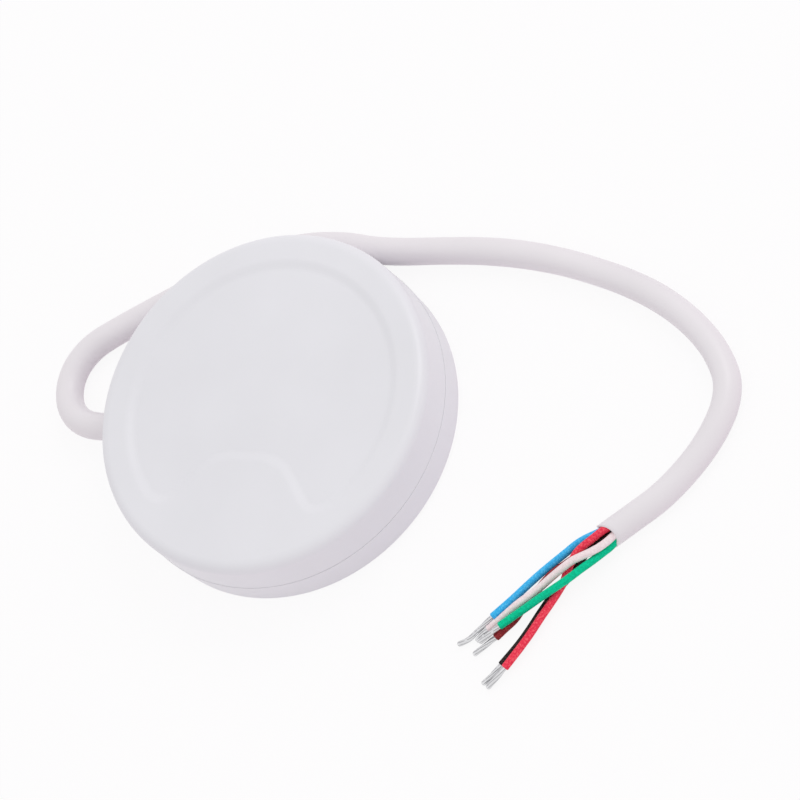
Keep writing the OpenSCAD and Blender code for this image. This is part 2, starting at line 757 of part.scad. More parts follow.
module relay_coil() {
    color([0.72, 0.36, 0.12])
    translate([relay_at[0], relay_at[1], coil_z])
    difference() {
        bar_x(coil_x + coil_gap, coil_x + coil_l, coil_r);
        bar_x(coil_x, coil_x + coil_l + cut_over, iron_r + pilot_gap);
    }
}

// Iron flap that rolls on its round foot
module relay_armature() {
    roll_r = iron_t / 2;
    color([0.55, 0.55, 0.57])
    translate([relay_at[0] + armature_x, relay_at[1], armature_foot + roll_r]) {
        translate([0, -armature_w / 2, 0]) cube([iron_t, armature_w, armature_h - roll_r]);
        translate([roll_r, armature_w / 2, 0]) rotate([90, 0, 0]) cylinder(r = roll_r, h = armature_w);
    }
}

// Fixed contact that the armature rests against
module relay_contact() {
    x = armature_x + iron_t + contact_gap;
    color([0.8, 0.7, 0.45])
    translate([relay_at[0], relay_at[1], 0]) {
        translate([x + contact_l, -blade_size[1] / 2, relay_floor]) cube(blade_size);
        translate([0, 0, armature_foot + contact_up]) bar_x(x, x + contact_l + blade_size[0] / 2, contact_r);
    }
}

module relay_case() {
    outer = [relay_l, relay_w, relay_h - relay_base_t];
    inner = outer - [2 * relay_wall, 2 * relay_wall, relay_wall - cut_over];
    color([0.12, 0.12, 0.13])
    difference() {
        block(relay_at, outer, relay_floor);
        block(relay_at, inner, relay_floor - cut_over);
    }
}

module switch_body() {
    color([0.14, 0.14, 0.15])
    difference() {
        union() {
            block(switch_at, [switch_w, switch_w, switch_h], board_top);
            for (side = [-1, 1])
                block(
                    [switch_at[0], switch_at[1] + side * switch_w / 3],
                    [switch_w + 2 * switch_leg_out, switch_leg_w, lead_t],
                    board_top
                );
        }
        translate([switch_at[0], switch_at[1], board_top + switch_floor])
            cylinder(r = button_r + button_gap, h = switch_h);
    }
}

module switch_button() {
    color([0.2, 0.2, 0.22])
    translate([switch_at[0], switch_at[1], button_foot])
        cylinder(r = button_r, h = switch_h - switch_floor - press_room + button_out);
}

module capacitor_can() {
    color([0.78, 0.79, 0.8])
    translate([capacitor_at[0], capacitor_at[1], board_top + capacitor_foot_t])
    difference() {
        cylinder(r = capacitor_r, h = capacitor_h);
        rotate_extrude() translate([capacitor_r + neck_out, neck_z]) circle(r = neck_r);
    }
}

module capacitor_foot() {
    side = 2 * (capacitor_r + capacitor_foot_over);
    color([0.1, 0.1, 0.1])
    difference() {
        block(capacitor_at, [side, side, capacitor_foot_t], board_top);
        for (end = [-1, 1])
            translate([capacitor_at[0] + side / 2, capacitor_at[1] + end * side / 2, board_top])
                rotate(45) cube([capacitor_corner, capacitor_corner, 2 * cut_over], center = true);
    }
}

module inductor_core() {
    color([0.22, 0.22, 0.23]) {
        block(inductor_at, inductor_size, board_top);
        translate([inductor_at[0], inductor_at[1], board_top]) cylinder(r = inductor_post_r, h = inductor_h);
        translate([inductor_at[0], inductor_at[1], board_top + inductor_h - inductor_size[2]])
            cylinder(r = inductor_top_r, h = inductor_size[2]);
    }
}

module inductor_winding() {
    z = board_top + inductor_size[2];
    color([0.7, 0.34, 0.12])
    translate([inductor_at[0], inductor_at[1], z])
    difference() {
        cylinder(r = inductor_coil_r, h = inductor_h - 2 * inductor_size[2]);
        translate([0, 0, -cut_over]) cylinder(r = inductor_post_r + pilot_gap, h = inductor_h + cut_over);
    }
}

// A moulded package with leads along two sides
module package(at, size, leads) {
    block(at, size, board_top);
    for (x = leads) block([at[0] + x, at[1]], [lead_w, size[1] + 2 * lead_out, lead_t], board_top);
}

module bridge_rectifier() {
    color([0.1, 0.1, 0.11]) package(rectifier_at, rectifier_size, rectifier_leads);
}

module surge_diode() {
    color([0.1, 0.1, 0.11]) package(surge_at, surge_size, surge_leads);
}

module voltage_regulator() {
    color([0.1, 0.1, 0.11]) package(regulator_at, regulator_size, regulator_leads);
}

module driver_transistor() {
    color([0.1, 0.1, 0.11]) package(transistor_at, transistor_size, transistor_leads);
}

module chip_passives() {
    color([0.5, 0.4, 0.3]) for (at = passive_spots) block(at, passive_size, board_top);
}

module status_led() {
    color([0.9, 0.9, 0.8]) {
        block(led_at, led_size, board_top);
        translate([led_at[0], led_at[1], board_top]) cylinder(r = led_dome_r, h = led_size[2] + led_dome_h);
    }
}

front_cover();
rear_base();
adhesive_pad();
cable_grommet();
cable_tie();
cable_jacket();
core_blue();
core_white();
core_green();
core_brown();
core_red();
core_black();
tinned_ends();
tail_blue();
tail_white();
tail_green();
tail_brown();
tail_red();
tail_black();
plug_housing();
board_socket();
socket_pins();
circuit_board();
board_screws();
radio_board();
radio_shield();
chip_antenna();
relay_base();
relay_pins();
relay_yoke();
relay_coil();
relay_armature();
relay_contact();
relay_case();
switch_body();
switch_button();
capacitor_can();
capacitor_foot();
inductor_core();
inductor_winding();
bridge_rectifier();
surge_diode();
voltage_regulator();
driver_transistor();
chip_passives();
status_led();
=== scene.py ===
import json
import math

import bmesh
import bpy
from mathutils import Matrix, Vector


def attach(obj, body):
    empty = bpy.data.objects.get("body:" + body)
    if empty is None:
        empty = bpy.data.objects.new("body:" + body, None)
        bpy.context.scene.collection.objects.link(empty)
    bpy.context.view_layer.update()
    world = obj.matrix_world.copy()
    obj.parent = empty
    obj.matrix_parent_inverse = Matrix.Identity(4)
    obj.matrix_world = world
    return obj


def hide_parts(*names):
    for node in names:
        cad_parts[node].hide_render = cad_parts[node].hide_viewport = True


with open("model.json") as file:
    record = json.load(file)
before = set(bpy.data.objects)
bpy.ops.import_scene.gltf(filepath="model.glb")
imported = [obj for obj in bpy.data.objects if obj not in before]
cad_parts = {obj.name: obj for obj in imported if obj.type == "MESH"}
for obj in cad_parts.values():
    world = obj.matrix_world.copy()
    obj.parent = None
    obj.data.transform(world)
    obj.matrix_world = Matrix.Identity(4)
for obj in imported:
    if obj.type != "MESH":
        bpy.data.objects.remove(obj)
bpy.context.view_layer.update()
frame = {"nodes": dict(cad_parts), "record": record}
nodes = frame["nodes"]
MM = 0.001
UP = Vector((0, 0, 1))

# Camera: the photograph's view, rolled so that the puck leans to the upper left

IMAGE_PX = 800
AZIMUTH = math.radians(58.5)
ELEVATION = math.radians(55.1)
ROLL = math.radians(50)
DISTANCE = 1.5
PX_PER_M = 5665
SENSOR_MM = 36
CLIP_START = 0.1
CLIP_END = 20
LOOK_RIGHT = 17.93 * MM
LOOK_UP = 5.55 * MM

to_camera = Vector((
    math.sin(AZIMUTH) * math.cos(ELEVATION),
    -math.cos(AZIMUTH) * math.cos(ELEVATION),
    math.sin(ELEVATION),
))
level_right = UP.cross(to_camera).normalized()
level_up = to_camera.cross(level_right)
image_right = math.cos(ROLL) * level_right - math.sin(ROLL) * level_up
image_up = math.sin(ROLL) * level_right + math.cos(ROLL) * level_up


def make_camera():
    data = bpy.data.cameras.new("camera")
    data.sensor_width = SENSOR_MM
    data.lens = PX_PER_M * DISTANCE / IMAGE_PX * SENSOR_MM
    data.clip_start = CLIP_START
    data.clip_end = CLIP_END
    camera = bpy.data.objects.new("camera", data)
    turn = Matrix((image_right, image_up, to_camera)).transposed()
    target = LOOK_RIGHT * image_right + LOOK_UP * image_up
    camera.matrix_world = Matrix.Translation(target + DISTANCE * to_camera) @ turn.to_4x4()
    bpy.context.scene.collection.objects.link(camera)
    bpy.context.scene.camera = camera


make_camera()

# Cords: the cable and its six cores, routes in metres

CORE_D = 0.0014
TIN_D = 0.001
CABLE_ROUTE = [
    (-0.021, -0.003, 0.005), (-0.03095, -0.003, 0.005), (-0.0348, -0.003, 0.005),
    (-0.0374, -0.003, 0.0048), (-0.0406, -0.0025, 0.0043), (-0.0436, -0.001, 0.0036),
    (-0.0459, 0.0015, 0.003), (-0.047, 0.0047, 0.0027), (-0.0469, 0.008, 0.0026),
    (-0.0457, 0.0109, 0.0026), (-0.0438, 0.0133, 0.0026), (-0.0408, 0.0156, 0.0026),
    (-0.0355, 0.0191, 0.0026), (-0.0295, 0.0228, 0.0026), (-0.0246, 0.0257, 0.0026),
    (-0.02, 0.0283, 0.0026), (-0.015, 0.031, 0.0026), (-0.0094, 0.0331, 0.0026), (-0.0036, 0.0342, 0.0026),
    (0.0024, 0.0344, 0.0026), (0.008, 0.0339, 0.0026), (0.014, 0.0339, 0.0026), (0.022, 0.0344, 0.0026),
    (0.03, 0.0347, 0.0026), (0.038, 0.0344, 0.0026), (0.046, 0.0334, 0.0026), (0.0535, 0.0318, 0.0026),
    (0.06, 0.03, 0.0026), (0.0665, 0.0275, 0.0026), (0.0725, 0.0242, 0.0026), (0.0775, 0.0204, 0.0026),
    (0.081, 0.0166, 0.0026), (0.0832, 0.0128, 0.0026), (0.0838, 0.0086, 0.0026), (0.083, 0.0042, 0.0026),
    (0.0812, -0.0004, 0.0026), (0.0785, -0.005, 0.0026), (0.0752, -0.0092, 0.0026),
    (0.0712, -0.0129, 0.0026), (0.0667, -0.0169, 0.0026),
]
CABLE_END = Vector(CABLE_ROUTE[-1])
END_ALONG = (CABLE_END - Vector(CABLE_ROUTE[-2])).normalized()
END_ACROSS = Vector((END_ALONG.y, -END_ALONG.x, 0))
# Each core: along the cable's end, across it to the far side, and above the surface
CORE_ROUTES = {
    "blue": [
        (0, 0.0014, 0.0027), (0.0033, 0.0024, 0.0022), (0.0054, 0.0028, 0.0018), (0.0076, 0.0029, 0.0014),
        (0.01, 0.003, 0.001), (0.0125, 0.003, 0.0007), (0.016, 0.0026, 0.0007), (0.02, 0.002, 0.0007),
        (0.0245, 0.0015, 0.0007),
    ],
    "white": [
        (0, -0.0015, 0.0036), (0.0016, -0.0017, 0.0039), (0.0034, -0.0015, 0.004),
        (0.0052, -0.0011, 0.004), (0.007, -0.0007, 0.0039), (0.009, -0.0007, 0.0038),
        (0.0115, -0.0004, 0.003), (0.0143, -0.0004, 0.0025), (0.0165, -0.0004, 0.0023),
        (0.019, -0.0003, 0.0022), (0.0215, -0.0001, 0.0015), (0.0243, 0, 0.0008),
        (0.0263, -0.0001, 0.0007),
    ],
    "green": [
        (0, -0.0018, 0.0021), (0.0017, -0.0021, 0.0024), (0.004, -0.0025, 0.0029),
        (0.0064, -0.0028, 0.0034), (0.0088, -0.003, 0.0036), (0.0111, -0.0029, 0.0035),
        (0.0137, -0.0026, 0.0032), (0.0162, -0.0023, 0.0028), (0.0185, -0.0021, 0.0025),
        (0.021, -0.0019, 0.0023), (0.0239, -0.0018, 0.0022),
    ],
    "brown": [
        (0, 0.0002, 0.0011), (0.002, 0.0006, 0.0008), (0.004, 0.0011, 0.0007), (0.006, 0.0014, 0.0007),
        (0.0085, 0.0015, 0.0007), (0.0115, 0.0015, 0.0007), (0.0135, 0.0011, 0.0007),
        (0.016, 0.0003, 0.0007), (0.019, -0.0006, 0.0007), (0.0214, -0.0016, 0.0007),
        (0.024, -0.002, 0.0007), (0.0258, -0.0023, 0.0007),
    ],
    "red": [
        (0, 0.0006, 0.0039), (0.002, 0.0006, 0.0037), (0.004, 0.0007, 0.0034), (0.0057, 0.0007, 0.0029),
        (0.0073, 0.0001, 0.0025), (0.009, -0.001, 0.0023), (0.0105, -0.0021, 0.002),
        (0.0122, -0.0029, 0.0018), (0.014, -0.0036, 0.0016), (0.017, -0.0049, 0.0016),
        (0.02, -0.0063, 0.0016), (0.023, -0.0075, 0.0016), (0.0269, -0.0088, 0.0015),
    ],
    "black": [
        (0, -0.0001, 0.0025), (0.002, 0.0002, 0.0022), (0.004, 0.0003, 0.0019), (0.006, -0.0001, 0.0013),
        (0.008, -0.0007, 0.0009), (0.01, -0.0012, 0.0007), (0.012, -0.0017, 0.0007),
        (0.014, -0.0023, 0.0007), (0.017, -0.0036, 0.0007), (0.02, -0.005, 0.0007),
        (0.023, -0.0062, 0.0007), (0.0273, -0.0075, 0.0007),
    ],
}
TIN_ROUTES = {
    "blue": [
        (0.0245, 0.0015, 0.0007), (0.0263, 0.0012, 0.0007), (0.028, 0.0009, 0.0007),
        (0.0296, 0.0006, 0.0007), (0.0309, 0.0007, 0.0007), (0.0323, 0.001, 0.0007),
    ],
    "white": [
        (0.0263, -0.0001, 0.0007), (0.0276, -0.0002, 0.0006), (0.0292, -0.0006, 0.0006),
    ],
    "green": [
        (0.0239, -0.0018, 0.0022), (0.0257, -0.0017, 0.0019), (0.027, -0.0016, 0.0016),
        (0.0287, -0.0015, 0.0012),
    ],
    "brown": [
        (0.0258, -0.0023, 0.0007), (0.0276, -0.0023, 0.0006), (0.0292, -0.0024, 0.0006),
        (0.0308, -0.0025, 0.0006),
    ],
    "red": [
        (0.0269, -0.0088, 0.0015), (0.0287, -0.0092, 0.0012), (0.0302, -0.0094, 0.0009),
        (0.0316, -0.0096, 0.0006),
    ],
    "black": [
        (0.0273, -0.0075, 0.0007), (0.0292, -0.0079, 0.0006), (0.0306, -0.0082, 0.0006),
        (0.032, -0.0084, 0.0006),
    ],
}


def smooth(route, step, lowest=0):
    """Points about a step apart on a Catmull-Rom curve through the route, none below a height."""
    pts = [Vector(p) for p in route]
    pts = [2 * pts[0] - pts[1]] + pts + [2 * pts[-1] - pts[-2]]
    out = []
    for a, b, c, d in zip(pts, pts[1:], pts[2:], pts[3:]):
        count = max(2, round((c - b).length / step))
        slope = c - a
        bend = 2 * a - 5 * b + 4 * c - d
        twist = 3 * b - a - 3 * c + d
        for i in range(count):
            t = i / count
            p = 0.5 * (2 * b + slope * t + bend * t ** 2 + twist * t ** 3)
            p.z = max(p.z, lowest)
            out.append(p)
    return out + [pts[-2]]


def length_of(path):
    return sum((b - a).length for a, b in zip(path, path[1:]))


def from_end(p):
    """A point in the part's frame from its place along, across and above the cable's end."""
    return Vector((CABLE_END.x, CABLE_END.y, 0)) + p[0] * END_ALONG + p[1] * END_ACROSS + p[2] * UP


def tangent_at(path, i):
    """Unit direction of a path at a point, which may be counted from its end."""
    i %= len(path)
    return (path[min(i + 1, len(path) - 1)] - path[max(i - 1, 0)]).normalized()


def skin(bm, rings):
    """Quads between rings of equally many points, with a cap at each end."""
    made = [[bm.verts.new(p) for p in ring] for ring in rings]
    n = len(made[0])
    for a, b in zip(made, made[1:]):
        for k in range(n):
            bm.faces.new((a[k], a[(k + 1) % n], b[(k + 1) % n], b[k]))
    bm.faces.new(made[0][::-1])
    bm.faces.new(made[-1])


# Edges that turn more than this stay sharp
SHARP_DEG = 40


def finish_mesh(name, bm, sharp_deg=SHARP_DEG):
    """An object of the mesh, shaded smooth between its sharp edges."""
    mesh = bpy.data.meshes.new(name)
    bmesh.ops.recalc_face_normals(bm, faces=bm.faces)
    for face in bm.faces:
        face.smooth = True
    for edge in bm.edges:
        if len(edge.link_faces) == 2 and edge.calc_face_angle() > math.radians(sharp_deg):
            edge.smooth = False
    bm.to_mesh(mesh)
    bm.free()
    obj = bpy.data.objects.new(name, mesh)
    bpy.context.scene.collection.objects.link(obj)
    return obj


def tube_rings(path, radius, sides):
    """Rings round a path: radius is a function of the distance along it and the angle round it."""
    rings, along = [], 0
    for i, p in enumerate(path):
        if i:
            along += (p - path[i - 1]).length
        tangent = tangent_at(path, i)
        side = UP.cross(tangent).normalized()
        top = tangent.cross(side)
        ring = []
        for k in range(sides):
            a = 2 * math.pi * k / sides
            ring.append(p + radius(along, a) * (math.cos(a) * side + math.sin(a) * top))
        rings.append(ring)
    return rings


# The jacket is pulled slightly oval by the twisted cores inside.
# Its end is cut square below, and slants back above.
JACKET_R = 0.00246
JACKET_WALL = 0.00045
OVAL = 0.012
LAY_PITCH = 0.064
LAY_START = 0.6
JACKET_SIDES = 48
CUT_TO_CAMERA = 0.85
CUT_SKEW = 0.1
LIP_ROUND = 0.00014
LIP_RUN = 4 * LIP_ROUND
MOUTH_DEPTH = 0.009
CABLE_STEP = 0.001


def jacket_radius(along, angle):
    turn = 2 * math.pi * along / LAY_PITCH
    return JACKET_R * (1 + OVAL * math.cos(2 * (angle - turn - LAY_START)))


def make_jacket(path):
    """The cable's skin, with a rounded lip at its cut end and a hollow behind it."""
    rings = tube_rings(path, jacket_radius, JACKET_SIDES)
    facing = (to_camera - to_camera.dot(END_ALONG) * END_ALONG).normalized()
    aside = END_ALONG.cross(facing)

    def slanted(ring, scale, back):
        """A ring at the cable's end, scaled about its axis and laid into the cut."""
        out = []
        for p in ring:
            off = (p - path[-1]) * scale
            slide = CUT_SKEW * off.dot(aside) - CUT_TO_CAMERA * max(0, off.dot(facing)) - back
            out.append(path[-1] + off + slide * END_ALONG)
        return out

    end = rings[-1]
    inner = 1 - JACKET_WALL / JACKET_R
    bevel = LIP_ROUND / JACKET_R
    # The last stretch gives way to the slanted rings
    reach = JACKET_R * (CUT_TO_CAMERA + CUT_SKEW) + LIP_RUN + LIP_ROUND
    keep = [r for r, p in zip(rings, path) if (p - path[-1]).length > reach]
    loops = keep + [
        slanted(end, 1, LIP_RUN),
        slanted(end, 1, LIP_ROUND),
        slanted(end, 1 - bevel, 0),
        slanted(end, inner + bevel, 0),
        slanted(end, inner, LIP_ROUND),
        slanted(end, inner, MOUTH_DEPTH),
    ]
    bm = bmesh.new()
    skin(bm, loops)
    return finish_mesh("cable_sheath", bm)


cable_path = smooth(CABLE_ROUTE, CABLE_STEP)
jacket = make_jacket(cable_path)

CORE_SIDES = 24
CORE_STEP = 0.0005
# How far behind the jacket's end a core's hidden points lie
HIDDEN_CORE = (0.0065, 0.0022)
CUT_BEVEL = 0.00012
TIN_SIDES = 56
TIN_STEP = 0.00015
# A tip starts inside its core, and narrows over its last stretch to this share of its width
TIN_INSIDE = 0.0012
TIN_ROUND = 0.0003
TIN_BLUNT = 0.6
TIN_SHARP_DEG = 70
STRANDS = 5
STRAND_PITCH = 0.018
STRAND_DEPTH = 0.26
STRAND_CURVE = 0.7


def core_path(colour):
    """A core's points, from inside the jacket to its cut end."""
    route = CORE_ROUTES[colour]
    across, height = route[0][1], route[0][2] - CABLE_END.z
    fit = min(1, (JACKET_R - JACKET_WALL - CORE_D / 2) / math.hypot(across, height))
    inside = [(-back, across * fit, CABLE_END.z + height * fit) for back in HIDDEN_CORE]
    return smooth([from_end(p) for p in inside + route], CORE_STEP, CORE_D / 2)


def make_core(colour):
    """A round core with a bevel at its cut end, and its path."""
    path = core_path(colour)
    rings = tube_rings(path, lambda along, angle: CORE_D / 2, CORE_SIDES)
    inner = 1 - CUT_BEVEL / (CORE_D / 2)
    rings.append([path[-1] + (p - path[-1]) * inner + CUT_BEVEL * tangent_at(path, -1) for p in rings[-1]])
    bm = bmesh.new()
    skin(bm, rings)
    return finish_mesh("wire_" + colour, bm), path


def make_tip(colour):
    """Twisted strands under solder: a lobed bar with a blunt end."""
    route = [from_end(p) for p in TIN_ROUTES[colour]]
    back = (route[0] - route[1]).normalized()
    path = smooth([route[0] + TIN_INSIDE * back] + route, TIN_STEP, TIN_D / 2)
    total = length_of(path)

    def radius(along, angle):
        turn = 2 * math.pi * along / STRAND_PITCH
        groove = abs(math.sin(STRANDS / 2 * (angle - turn)))
        left = min(1, (total - along) / TIN_ROUND)
        end = TIN_BLUNT + (1 - TIN_BLUNT) * math.sqrt(1 - (1 - left) ** 2)
        return TIN_D / 2 * (1 - STRAND_DEPTH * (1 - groove ** STRAND_CURVE)) * end

    bm = bmesh.new()
    skin(bm, tube_rings(path, radius, TIN_SIDES))
    return finish_mesh("tip_" + colour, bm, TIN_SHARP_DEG)


cores, tips, core_paths = {}, {}, {}
for colour in CORE_ROUTES:
    cores[colour], core_paths[colour] = make_core(colour)
    tips[colour] = make_tip(colour)
    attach(cores[colour], "case")
    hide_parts("core_" + colour)
    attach(tips[colour], "case")
    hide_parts("tinned_ends")

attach(jacket, "case")
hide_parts("cable_jacket")

# Materials


def srgb(*levels):
    """Linear colour of an 8-bit sRGB one."""
    shares = [level / 255 for level in levels]
    return tuple(s / 12.92 if s <= 0.04045 else ((s + 0.055) / 1.055) ** 2.4 for s in shares) + (1,)


def tint(colour, factor):
    """A lighter or darker copy of a colour."""
    return tuple(min(1, c * factor) for c in colour[:3]) + (1,)


class Surface:
    """A Principled material with small helpers for its procedural detail."""

    def __init__(self, name, roughness, metallic=0, specular=0.5):
        self.material = bpy.data.materials.new(name)
        self.material.use_nodes = True
        self.tree = self.material.node_tree
        self.shader = self.tree.nodes["Principled BSDF"]
        self.set("Roughness", roughness)
        self.set("Metallic", metallic)
        self.set("Specular IOR Level", specular)
        self.place = self.add("ShaderNodeTexCoord").outputs["Object"]

    def set(self, socket, value):
        self.shader.inputs[socket].default_value = value

    def add(self, kind, **settings):
        node = self.tree.nodes.new(kind)
        for key, value in settings.items():
            setattr(node, key, value)
        return node

    def link(self, a, b):
        self.tree.links.new(a, b)

    def noise(self, scale, detail, stretch=(1, 1, 1)):
        mapping = self.add("ShaderNodeMapping")
        mapping.inputs["Scale"].default_value = stretch
        self.link(self.place, mapping.inputs["Vector"])
        node = self.add("ShaderNodeTexNoise")
        node.inputs["Scale"].default_value = scale
        node.inputs["Detail"].default_value = detail
        self.link(mapping.outputs["Vector"], node.inputs["Vector"])
        return node.outputs["Fac"]

    def ramp(self, value, stops):
        node = self.add("ShaderNodeValToRGB")
        ramp = node.color_ramp
        while len(ramp.elements) < len(stops):
            ramp.elements.new(0.5)
        for element, (at, colour) in zip(ramp.elements, stops):
            element.position = at
            element.color = colour
        self.link(value, node.inputs["Fac"])
        return node.outputs["Color"]

    def by_slope(self, level, upright):
        """A colour output where the surface lies flat, and a plain colour where it stands upright."""
        split = self.add("ShaderNodeSeparateXYZ")
        self.link(self.add("ShaderNodeNewGeometry").outputs["Normal"], split.inputs["Vector"])
        flat = self.add("ShaderNodeMath", operation="ABSOLUTE")
        self.link(split.outputs["Z"], flat.inputs[0])
        mix = self.add("ShaderNodeMix", data_type="RGBA")
        sockets = {s.identifier: s for s in mix.inputs}
        self.link(flat.outputs[0], sockets["Factor_Float"])
        sockets["A_Color"].default_value = upright
        self.link(level, sockets["B_Color"])
        return next(s for s in mix.outputs if s.identifier == "Result_Color")

    def colour(self, output):
        self.link(output, self.shader.inputs["Base Color"])

    def roughness(self, value, low, high):
        node = self.add("ShaderNodeMapRange")
        node.inputs["To Min"].default_value = low
        node.inputs["To Max"].default_value = high
        self.link(value, node.inputs["Value"])
        self.link(node.outputs["Result"], self.shader.inputs["Roughness"])

    def bump(self, value, strength, depth):
        node = self.add("ShaderNodeBump")
        node.inputs["Strength"].default_value = strength
        node.inputs["Distance"].default_value = depth
        self.link(value, node.inputs["Height"])
        self.link(node.outputs["Normal"], self.shader.inputs["Normal"])


def moulded(name, colour, roughness, grain=2600, depth=0.006 * MM, vary=0.02):
    """Injection-moulded plastic: a fine spark texture and a slow drift of tone."""
    s = Surface(name, roughness)
    drift = s.noise(scale=45, detail=3)
    s.colour(s.ramp(drift, [(0.3, tint(colour, 1 - vary)), (0.7, tint(colour, 1 + vary))]))
    s.roughness(s.noise(scale=160, detail=4), low=roughness - 0.04, high=roughness + 0.05)
    s.bump(s.noise(scale=grain, detail=2), strength=0.35, depth=depth)
    return s.material


def insulation(name, colour, painted_glint, vary=0.14):
    """Extruded wire covering over twisted strands: small darker specks of tone, and paler specks that are
    painted glints.
    """
    s = Surface(name, roughness=0.4, specular=0.1)
    specks = s.noise(scale=3000, detail=2)
    # The paler stop paints small glints onto the colour; the darker stop is random tone.
    s.colour(s.ramp(specks, [(0.36, tint(colour, 1 - vary)), (0.5, colour), (0.66, painted_glint)]))
    s.roughness(s.noise(scale=900, detail=3), low=0.34, high=0.52)
    s.bump(s.noise(scale=1900, detail=2), strength=0.5, depth=0.05 * MM)
    return s.material


def metal(name, colour, roughness, scratch=(1, 1, 1)):
    """Bare metal with a fine grain, which scratch draws out along an axis."""
    s = Surface(name, roughness, metallic=1)
    grain = s.noise(scale=900, detail=4, stretch=scratch)
    s.colour(s.ramp(grain, [(0.25, tint(colour, 0.86)), (0.75, tint(colour, 1.08))]))
    s.roughness(grain, low=roughness - 0.08, high=roughness + 0.1)
    s.bump(grain, strength=0.35, depth=0.01 * MM)
    return s.material


def stranded(name, colour, roughness, groove_shade):
    """Tinned strands: the plain colour along their backs, and painted shade in the grooves between them.
    """
    s = Surface(name, roughness, metallic=1)
    edge = s.add("ShaderNodeNewGeometry").outputs["Pointiness"]
    # Pointiness paints shade into the grooves between the strands.
    s.colour(s.ramp(edge, [(0.44, tint(colour, groove_shade)), (0.53, colour)]))
    grain = s.noise(scale=2600, detail=3)
    s.roughness(grain, low=roughness - 0.08, high=roughness + 0.12)
    s.bump(grain, strength=0.4, depth=0.03 * MM)
    return s.material


# A wave texture of scale 1 has about one band in this share of a unit
WAVE_BAND = 0.314
WINDING_WIRE = 0.22 * MM


def wound(name, colour, axis):
    """Enamelled wire lying in turns round an axis, with painted shade in the creases between turns."""
    s = Surface(name, roughness=0.32, metallic=0.85)
    wave = s.add("ShaderNodeTexWave", bands_direction=axis)
    wave.inputs["Scale"].default_value = WAVE_BAND / WINDING_WIRE
    s.link(s.place, wave.inputs["Vector"])
    # The dark end of the ramp paints shade into the creases between the turns.
    s.colour(s.ramp(wave.outputs["Fac"], [(0.1, tint(colour, 0.45)), (0.6, colour)]))
    s.bump(wave.outputs["Fac"], strength=0.8, depth=WINDING_WIRE / 3)
    return s.material


RESIN = srgb(126, 132, 84)
TRACK_WIDTH = 0.12 * MM
TRACK_RUN = 4.6 * MM
TRACK_PITCH = 1.7 * MM


def laminate(name, colour, trace):
    """Solder mask over copper tracks, which show as paler lines, and bare resin at the cut edge."""
    s = Surface(name, roughness=0.35)
    brick = s.add("ShaderNodeTexBrick", offset=0.37, squash=1.6)
    brick.inputs["Color1"].default_value = colour
    brick.inputs["Color2"].default_value = tint(colour, 0.94)
    brick.inputs["Scale"].default_value = 1
    brick.inputs["Mortar Size"].default_value = TRACK_WIDTH
    brick.inputs["Brick Width"].default_value = TRACK_RUN
    brick.inputs["Row Height"].default_value = TRACK_PITCH
    s.link(s.place, brick.inputs["Vector"])
    patches = s.noise(scale=150, detail=1)
    s.link(s.ramp(patches, [(0.47, colour), (0.53, trace)]), brick.inputs["Mortar"])
    s.colour(s.by_slope(brick.outputs["Color"], RESIN))
    s.roughness(s.noise(scale=500, detail=3), low=0.28, high=0.42)
    s.bump(brick.outputs["Fac"], strength=0.12, depth=0.03 * MM)
    return s.material


FOAM_CELLS_PER_M = 2200


def foam(name, colour):
    """Open foam: dented cells, with painted shade in each dent."""
    s = Surface(name, roughness=0.9, specular=0.2)
    cells = s.add("ShaderNodeTexVoronoi")
    cells.inputs["Scale"].default_value = FOAM_CELLS_PER_M
    s.link(s.place, cells.inputs["Vector"])
    # The dark end of the ramp paints shade into the middle of each dented cell.
    s.colour(s.ramp(cells.outputs["Distance"], [(0.1, tint(colour, 0.7)), (0.6, tint(colour, 1.15))]))
    s.bump(cells.outputs["Distance"], strength=0.7, depth=0.15 * MM)
    return s.material


